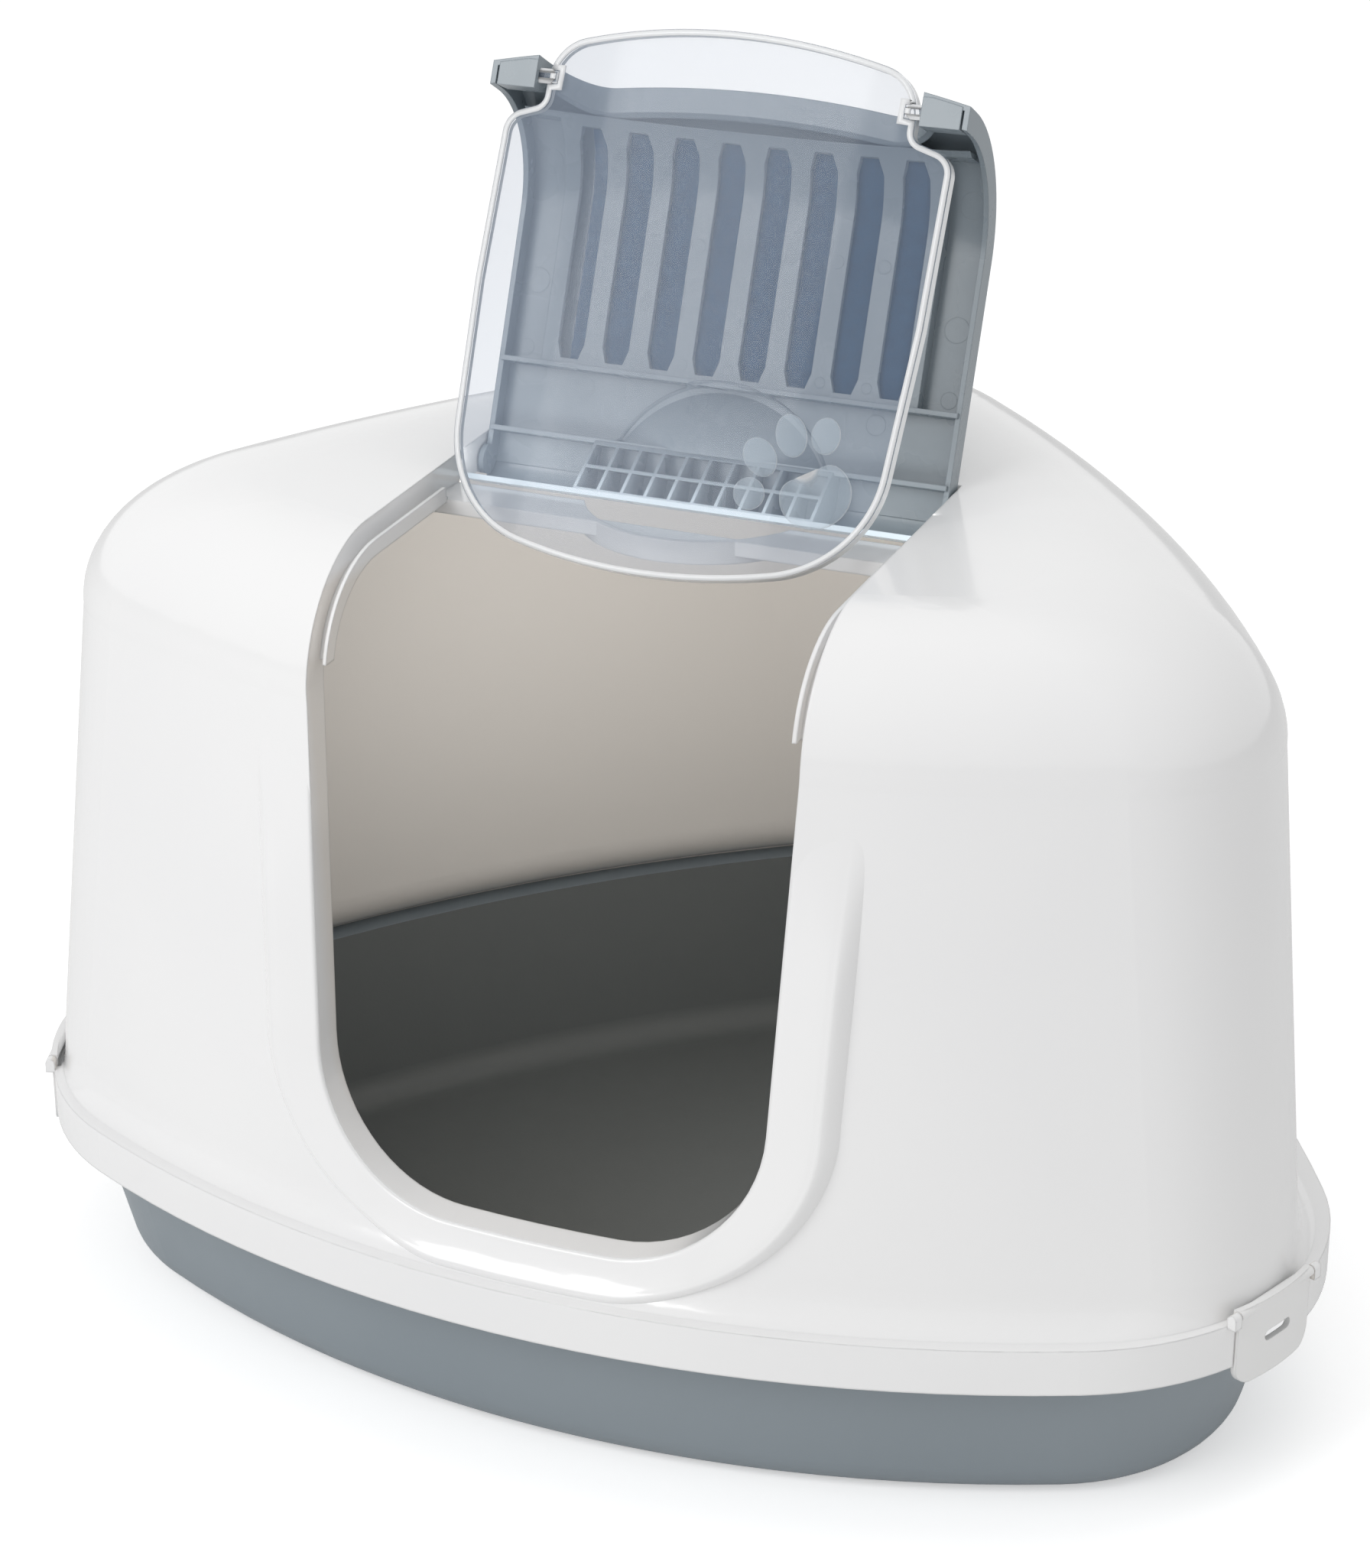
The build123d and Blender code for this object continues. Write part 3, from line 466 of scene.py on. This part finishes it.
# %% Panel and door places
panel_hinge = Vector(joints["panel_hinge"]["pos_m"])
door_hinge = Vector(joints["door_swing"]["pos_m"])
PANEL_LEAN = radians(23.8)
CLEAR_OF_PANEL = 0.06
CLEAR_OF_DOOR = 0.08
panel_up = Vector((0, sin(PANEL_LEAN), cos(PANEL_LEAN)))
panel_out = Vector((0, -cos(PANEL_LEAN), sin(PANEL_LEAN)))
door_down = Vector((0, -sin(DOOR_LEAN), -cos(DOOR_LEAN)))


def on_panel(x, along, out):
    """A place over the panel's inner face, along from its hinge."""
    return panel_hinge + Vector((x, 0, 0)) + panel_up * along + panel_out * out


def on_door(x, down, out):
    """A place over the door's outer face, down from its pins."""
    return door_hinge + Vector((x, 0, 0)) + door_down * down + door_out * out


print("panel leans", degrees(PANEL_LEAN), "door leans", degrees(DOOR_LEAN))

# %% [markdown]
# ## Moulding marks and the ridge round the finger bowl
# The inner face of the panel shows what its mould left: round ejector marks on the bars, beside the
# pocket and under it. A ridge runs in an arc over the finger bowl. Both are spun from a small
# triangle of section about the middle of the ring, and then dropped on the panel's skin.


# %% Rings
RING_TUCK = 0.0003


def ring(form, middle, radius, width, height, start=0.0, sweep=2 * pi, steps=32):
    """A thin round ridge, or an arc of one, drawn flat about middle with Z as its height."""
    section = []
    for reach, rise in ((-width / 2, 0), (0, height), (width / 2, 0)):
        spot = Vector((radius + reach, 0, rise))
        spot.rotate(Matrix.Rotation(start, 3, "Z"))
        section.append(form.verts.new(spot + Vector((*middle, 0))))
    edges = [form.edges.new((section[i], section[i + 1])) for i in range(2)]
    whole = sweep >= 2 * pi
    bmesh.ops.spin(
        form, geom=section + edges, cent=(*middle, 0), axis=(0, 0, 1), angle=sweep, steps=steps,
        use_merge=whole, use_duplicate=False,
    )


def lay_on_panel(form, tuck=RING_TUCK):
    """Drops a form drawn as across, along and height on the panel's inner face."""
    off = []
    for vertex in form.verts:
        start = on_panel(vertex.co.x, vertex.co.y, CLEAR_OF_PANEL)
        landed = drop(panel_skin, start, -panel_out, vertex.co.z - tuck)
        if landed is None:
            off.append(vertex)
        else:
            vertex.co = landed
    bmesh.ops.delete(form, geom=off, context="VERTS")


BAR_PITCH = 0.0194
BAR_COUNT = 7
MARK_SECTION = (0.0007, 0.00055)
# Along from the hinge and radius, on each bar.
BAR_MARKS = ((0.094, 0.0026), (0.047, 0.0021))
# Across, along and radius, on both sides of the panel.
SIDE_MARKS = (
    (0.089, 0.121, 0.0050),
    (0.089, 0.074, 0.0050),
    (0.090, 0.047, 0.0033),
    (0.062, 0.034, 0.0040),
    (0.012, 0.033, 0.0040),
)
marks = bmesh.new()
for bar in range(BAR_COUNT):
    bar_x = (bar - (BAR_COUNT - 1) / 2) * BAR_PITCH
    for along, radius in BAR_MARKS:
        ring(marks, (bar_x, along), radius, *MARK_SECTION, steps=20)
for side in (-1, 1):
    for across, along, radius in SIDE_MARKS:
        ring(marks, (side * across, along), radius, *MARK_SECTION)
lay_on_panel(marks)
make_piece("ejector_marks", marks, panel_finish, "panel")

# %% Bowl ridge
BOWL_MIDDLE = (0.0, -0.0065)
BOWL_RADIUS = 0.0488
BOWL_RIDGE_SECTION = (0.0018, 0.0016)
BOWL_RIDGE_START = radians(25)
BOWL_RIDGE_SWEEP = radians(130)
ridge_form = bmesh.new()
ring(
    ridge_form, BOWL_MIDDLE, BOWL_RADIUS, *BOWL_RIDGE_SECTION, start=BOWL_RIDGE_START,
    sweep=BOWL_RIDGE_SWEEP, steps=60,
)
lay_on_panel(ridge_form)
make_piece("bowl_ridge", ridge_form, panel_finish, "panel")

# %% [markdown]
# ## The milky edge of the door
# All round its outline the door is as deep as its rim, so its edge reads as a solid milky line. The
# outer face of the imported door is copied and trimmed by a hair. A narrow strip is then set off
# inside its outline, and the strip alone is kept, raised a little and given its thickness.

# %% Door edge
EDGE_MARGIN = 0.0004
EDGE_WIDTH = 0.0021
EDGE_HEIGHT = 0.0004
EDGE_TUCK = 0.0005
FACES_OUT = 0.80
SAME_SKIN = 0.0005


def set_off(form, thickness):
    """Sets a strip off inside the outline of a sheet, and gives the strip's faces."""
    return bmesh.ops.inset_region(
        form, faces=form.faces[:], thickness=thickness, use_boundary=True, use_even_offset=True
    )["faces"]


def lies_deep(face):
    """Whether another skin of the door lies in front of a face."""
    middle = face.calc_center_median()
    front = drop(door_skin, middle + door_out * CLEAR_OF_DOOR, -door_out, 0.0)
    return (front - middle).length > SAME_SKIN


edge_form = bmesh.new()
edge_form.from_mesh(frame["nodes"]["swing_door"].data)
edge_form.normal_update()
turned_away = [face for face in edge_form.faces if face.normal.dot(door_out) < FACES_OUT]
bmesh.ops.delete(edge_form, geom=turned_away, context="FACES")
bmesh.ops.remove_doubles(edge_form, verts=edge_form.verts, dist=1e-6)
deep = [face for face in edge_form.faces if lies_deep(face)]
bmesh.ops.delete(edge_form, geom=deep, context="FACES")
bmesh.ops.delete(edge_form, geom=set_off(edge_form, EDGE_MARGIN), context="FACES")
strip = set(set_off(edge_form, EDGE_WIDTH))
inner = [face for face in edge_form.faces if face not in strip]
bmesh.ops.delete(edge_form, geom=inner, context="FACES")
bmesh.ops.translate(edge_form, verts=edge_form.verts, vec=door_out * EDGE_HEIGHT)
thicken(edge_form, -door_out * (EDGE_HEIGHT + EDGE_TUCK))
make_piece("door_edge", edge_form, rim_finish, "door")

# %% [markdown]
# ## The paw print
# A plain paw marks the low corner of the door: a pad and four toes, frosted and a hair proud of the
# clear sheet. Each mark is a circle stretched to an oval, filled, dropped on the bowed skin and
# given its thickness, and the pad is flattened a little at its top.

# %% Paw print
PRINT_HEIGHT = 0.0003
PRINT_TUCK = 0.0004
BORDER = 0.12
BORDER_RISE = 0.3
PAD_DENT = 0.35
# Name, middle as across and down, half width and half height, and turn in degrees.
paw_marks = [
    ("pad", (0.0640, 0.1470), (0.0138, 0.0128), 32),
    ("toe_1", (0.0388, 0.1500), (0.0060, 0.0062), 40),
    ("toe_2", (0.0405, 0.1358), (0.0060, 0.0080), 40),
    ("toe_3", (0.0510, 0.1262), (0.0059, 0.0083), 22),
    ("toe_4", (0.0640, 0.1245), (0.0055, 0.0070), 4),
]


def paw_mark(name, middle, half, turn, dent):
    """One frosted mark on the door's outer skin."""
    form = bmesh.new()
    bmesh.ops.create_circle(form, cap_ends=True, cap_tris=False, segments=40, radius=1.0)
    bmesh.ops.inset_individual(form, faces=form.faces[:], thickness=BORDER, use_even_offset=True)
    bmesh.ops.poke(form, faces=[max(form.faces, key=lambda face: len(face.verts))])
    turned = Matrix.Rotation(radians(turn), 3, "Z")
    for vertex in form.verts:
        away = vertex.co.length
        pull = 1 - dent * max(0.0, vertex.co.y) ** 4
        flat = turned @ Vector((vertex.co.x * half[0], vertex.co.y * pull * half[1], 0))
        rise = PRINT_HEIGHT if away < 0.95 else PRINT_HEIGHT * BORDER_RISE
        start = on_door(middle[0] + flat.x, middle[1] - flat.y, CLEAR_OF_DOOR)
        vertex.co = drop(door_skin, start, -door_out, rise)
    thicken(form, -door_out * (PRINT_HEIGHT + PRINT_TUCK))
    make_piece("paw_" + name, form, frost_finish, "door")


for name, middle, half, turn in paw_marks:
    paw_mark(name, middle, half, turn, PAD_DENT if name == "pad" else 0.0)

# %% [markdown]
# ## The filter
# The carbon filter is a dark blue fleece pad under the bars. The imported solid is only its room, so
# a copy of it is rebuilt in small even cells and smoothed and ruffled a little. Its finish is a
# fibre tangle: two blues, a coarse and a fine noise, and sheen.


# %% Fleece
def fleece(name, first, second):
    """A matt fibre tangle in two tones."""
    material, tree, shader, place = start_material(name)
    clump = noise_on(tree, place, 220.0, detail=6.0, rough=0.7)
    fibre = noise_on(tree, place, 1800.0, detail=4.0, rough=0.8)
    colour = two_tones(tree, clump.outputs["Fac"], first, second)
    tree.links.new(colour, shader.inputs["Base Color"])
    tree.links.new(spread(tree, fibre.outputs["Fac"], 0.8, 1.0), shader.inputs["Roughness"])
    shader.inputs["Sheen Weight"].default_value = 0.3
    shader.inputs["Sheen Roughness"].default_value = 0.6
    shader.inputs["Specular IOR Level"].default_value = 0.2
    coarse = add_node(tree, "Bump", Strength=0.5, Distance=0.0006)
    fine = add_node(tree, "Bump", Strength=0.6, Distance=0.0002)
    tree.links.new(clump.outputs["Fac"], coarse.inputs["Height"])
    tree.links.new(fibre.outputs["Fac"], fine.inputs["Height"])
    tree.links.new(coarse.outputs["Normal"], fine.inputs["Normal"])
    tree.links.new(fine.outputs["Normal"], shader.inputs["Normal"])
    return material


filter_finish = fleece("filter_blue_fleece", (0.010, 0.045, 0.105), (0.022, 0.080, 0.165))
print(filter_finish.name)

# %% Filter pad
PAD_CELL = 0.0013
SMOOTHINGS = 3
PAD_SHRINK = 0.0002
RUFFLE = 0.00018
COARSE_WAVE = 260.0
FINE_WAVE = 700.0
FINE_SHARE = 0.6
pad_data = frame["nodes"]["carbon_filter"].data.copy()
pad = bpy.data.objects.new("filter_pad", pad_data)
bpy.context.scene.collection.objects.link(pad)
shell = bmesh.new()
shell.from_mesh(pad_data)
bmesh.ops.remove_doubles(shell, verts=shell.verts, dist=1e-5)
shell.to_mesh(pad_data)
shell.free()
cells = pad.modifiers.new("cells", "REMESH")
cells.mode = "VOXEL"
cells.voxel_size = PAD_CELL
evaluated = pad.evaluated_get(bpy.context.evaluated_depsgraph_get())
pad.data = bpy.data.meshes.new_from_object(evaluated)
pad.modifiers.clear()
ruffled = bmesh.new()
ruffled.from_mesh(pad.data)
for _ in range(SMOOTHINGS):
    bmesh.ops.smooth_vert(
        ruffled, verts=ruffled.verts, factor=0.5, use_axis_x=True, use_axis_y=True, use_axis_z=True
    )
ruffled.normal_update()
for vertex in ruffled.verts:
    coarse_wave = noise.noise(vertex.co * COARSE_WAVE)
    wave = coarse_wave + FINE_SHARE * noise.noise(vertex.co * FINE_WAVE)
    vertex.co -= vertex.normal * (PAD_SHRINK + RUFFLE * (wave + FINE_SHARE))
ruffled.to_mesh(pad.data)
ruffled.free()
for face in pad.data.polygons:
    face.use_smooth = True
pad.data.materials.clear()
pad.data.materials.append(filter_finish)
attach(pad, "panel")
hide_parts("carbon_filter")
print("filter pad", len(pad.data.polygons), "faces")

# %% [markdown]
# ## Light and ground
# A white room: the world is plain white to the eye and in reflections, and lights softly. A broad
# lamp at the left makes the forms readable, and weaker ones fill the top, the right side and the
# cabin. The floor keeps a soft shadow under the tray.

# %% World
AMBIENT = 0.60
world = bpy.data.worlds.new("white_room")
world.use_nodes = True
bpy.context.scene.world = world
tree = world.node_tree
tree.nodes.clear()
path = tree.nodes.new("ShaderNodeLightPath")
seen = combine(tree, "MAXIMUM", path.outputs["Is Camera Ray"], path.outputs["Is Transmission Ray"])
shown = combine(tree, "MAXIMUM", seen, path.outputs["Is Glossy Ray"])
lighting = add_node(tree, "Background", Color=(1.0, 1.0, 1.0, 1), Strength=AMBIENT)
backdrop = add_node(tree, "Background", Color=(1.0, 1.0, 1.0, 1), Strength=1.0)
either = tree.nodes.new("ShaderNodeMixShader")
out = tree.nodes.new("ShaderNodeOutputWorld")
tree.links.new(shown, either.inputs["Fac"])
tree.links.new(lighting.outputs[0], either.inputs[1])
tree.links.new(backdrop.outputs[0], either.inputs[2])
tree.links.new(either.outputs[0], out.inputs["Surface"])
print("world", AMBIENT)


# %% Lamps
def soft_lamp(name, place, aim, size, power, warmth, mirrored=False):
    """A square lamp of that size in metres, turned to aim; gloss shows it only if mirrored."""
    data = bpy.data.lights.new(name, "AREA")
    data.size = size
    data.energy = power
    data.color = warmth
    lamp = bpy.data.objects.new(name, data)
    lamp.location = place
    lamp.rotation_euler = (Vector(aim) - Vector(place)).to_track_quat("-Z", "Y").to_euler()
    lamp.visible_camera = False
    lamp.visible_glossy = mirrored
    bpy.context.scene.collection.objects.link(lamp)
    print(name, power, "W")


MIDDLE = (0.0, 0.0, 0.2)
TOP_FRONT = (0.0, -0.05, 0.35)
CABIN_BACK = (0.0, 0.15, 0.20)
WHITE = (1.0, 1.0, 1.0)
soft_lamp("key_left", (-0.95, -1.95, 1.75), TOP_FRONT, 1.3, 25.0, WHITE, mirrored=True)
soft_lamp("fill_top", (0.3, 0.4, 2.4), MIDDLE, 1.6, 9.0, (1.0, 0.995, 0.985))
soft_lamp("strip_right", (1.7, -0.7, 0.9), MIDDLE, 0.8, 1.0, WHITE)
soft_lamp("cabin_glow", (0.0, -0.08, 0.26), CABIN_BACK, 0.20, 0.33, (1.0, 0.985, 0.96))


# %% Floor
FLOOR_HALF = 8.0
FLOOR_GLOW = 0.42


def floor_finish():
    """White paper that keeps the shadow, and shows white where nothing shades it."""
    material, tree, shader, place = start_material("floor_white")
    grain = noise_on(tree, place, 3.0)
    tone = two_tones(tree, grain.outputs["Fac"], (0.88, 0.88, 0.88), (0.90, 0.90, 0.90))
    tree.links.new(tone, shader.inputs["Base Color"])
    shader.inputs["Roughness"].default_value = 0.9
    shader.inputs["Specular IOR Level"].default_value = 0.0
    glow = add_node(tree, "Emission", Strength=FLOOR_GLOW)
    both = tree.nodes.new("ShaderNodeAddShader")
    seen = tree.nodes.new("ShaderNodeLightPath")
    pick = tree.nodes.new("ShaderNodeMixShader")
    tree.links.new(shader.outputs[0], both.inputs[0])
    tree.links.new(glow.outputs[0], both.inputs[1])
    tree.links.new(seen.outputs["Is Camera Ray"], pick.inputs["Fac"])
    tree.links.new(shader.outputs[0], pick.inputs[1])
    tree.links.new(both.outputs[0], pick.inputs[2])
    tree.links.new(pick.outputs[0], tree.nodes["Material Output"].inputs["Surface"])
    return material


floor_mesh = bmesh.new()
bmesh.ops.create_grid(floor_mesh, x_segments=1, y_segments=1, size=FLOOR_HALF)
floor_data = bpy.data.meshes.new("floor")
floor_mesh.to_mesh(floor_data)
floor_mesh.free()
floor = bpy.data.objects.new("floor", floor_data)
floor.data.materials.append(floor_finish())
bpy.context.scene.collection.objects.link(floor)
print("floor laid")
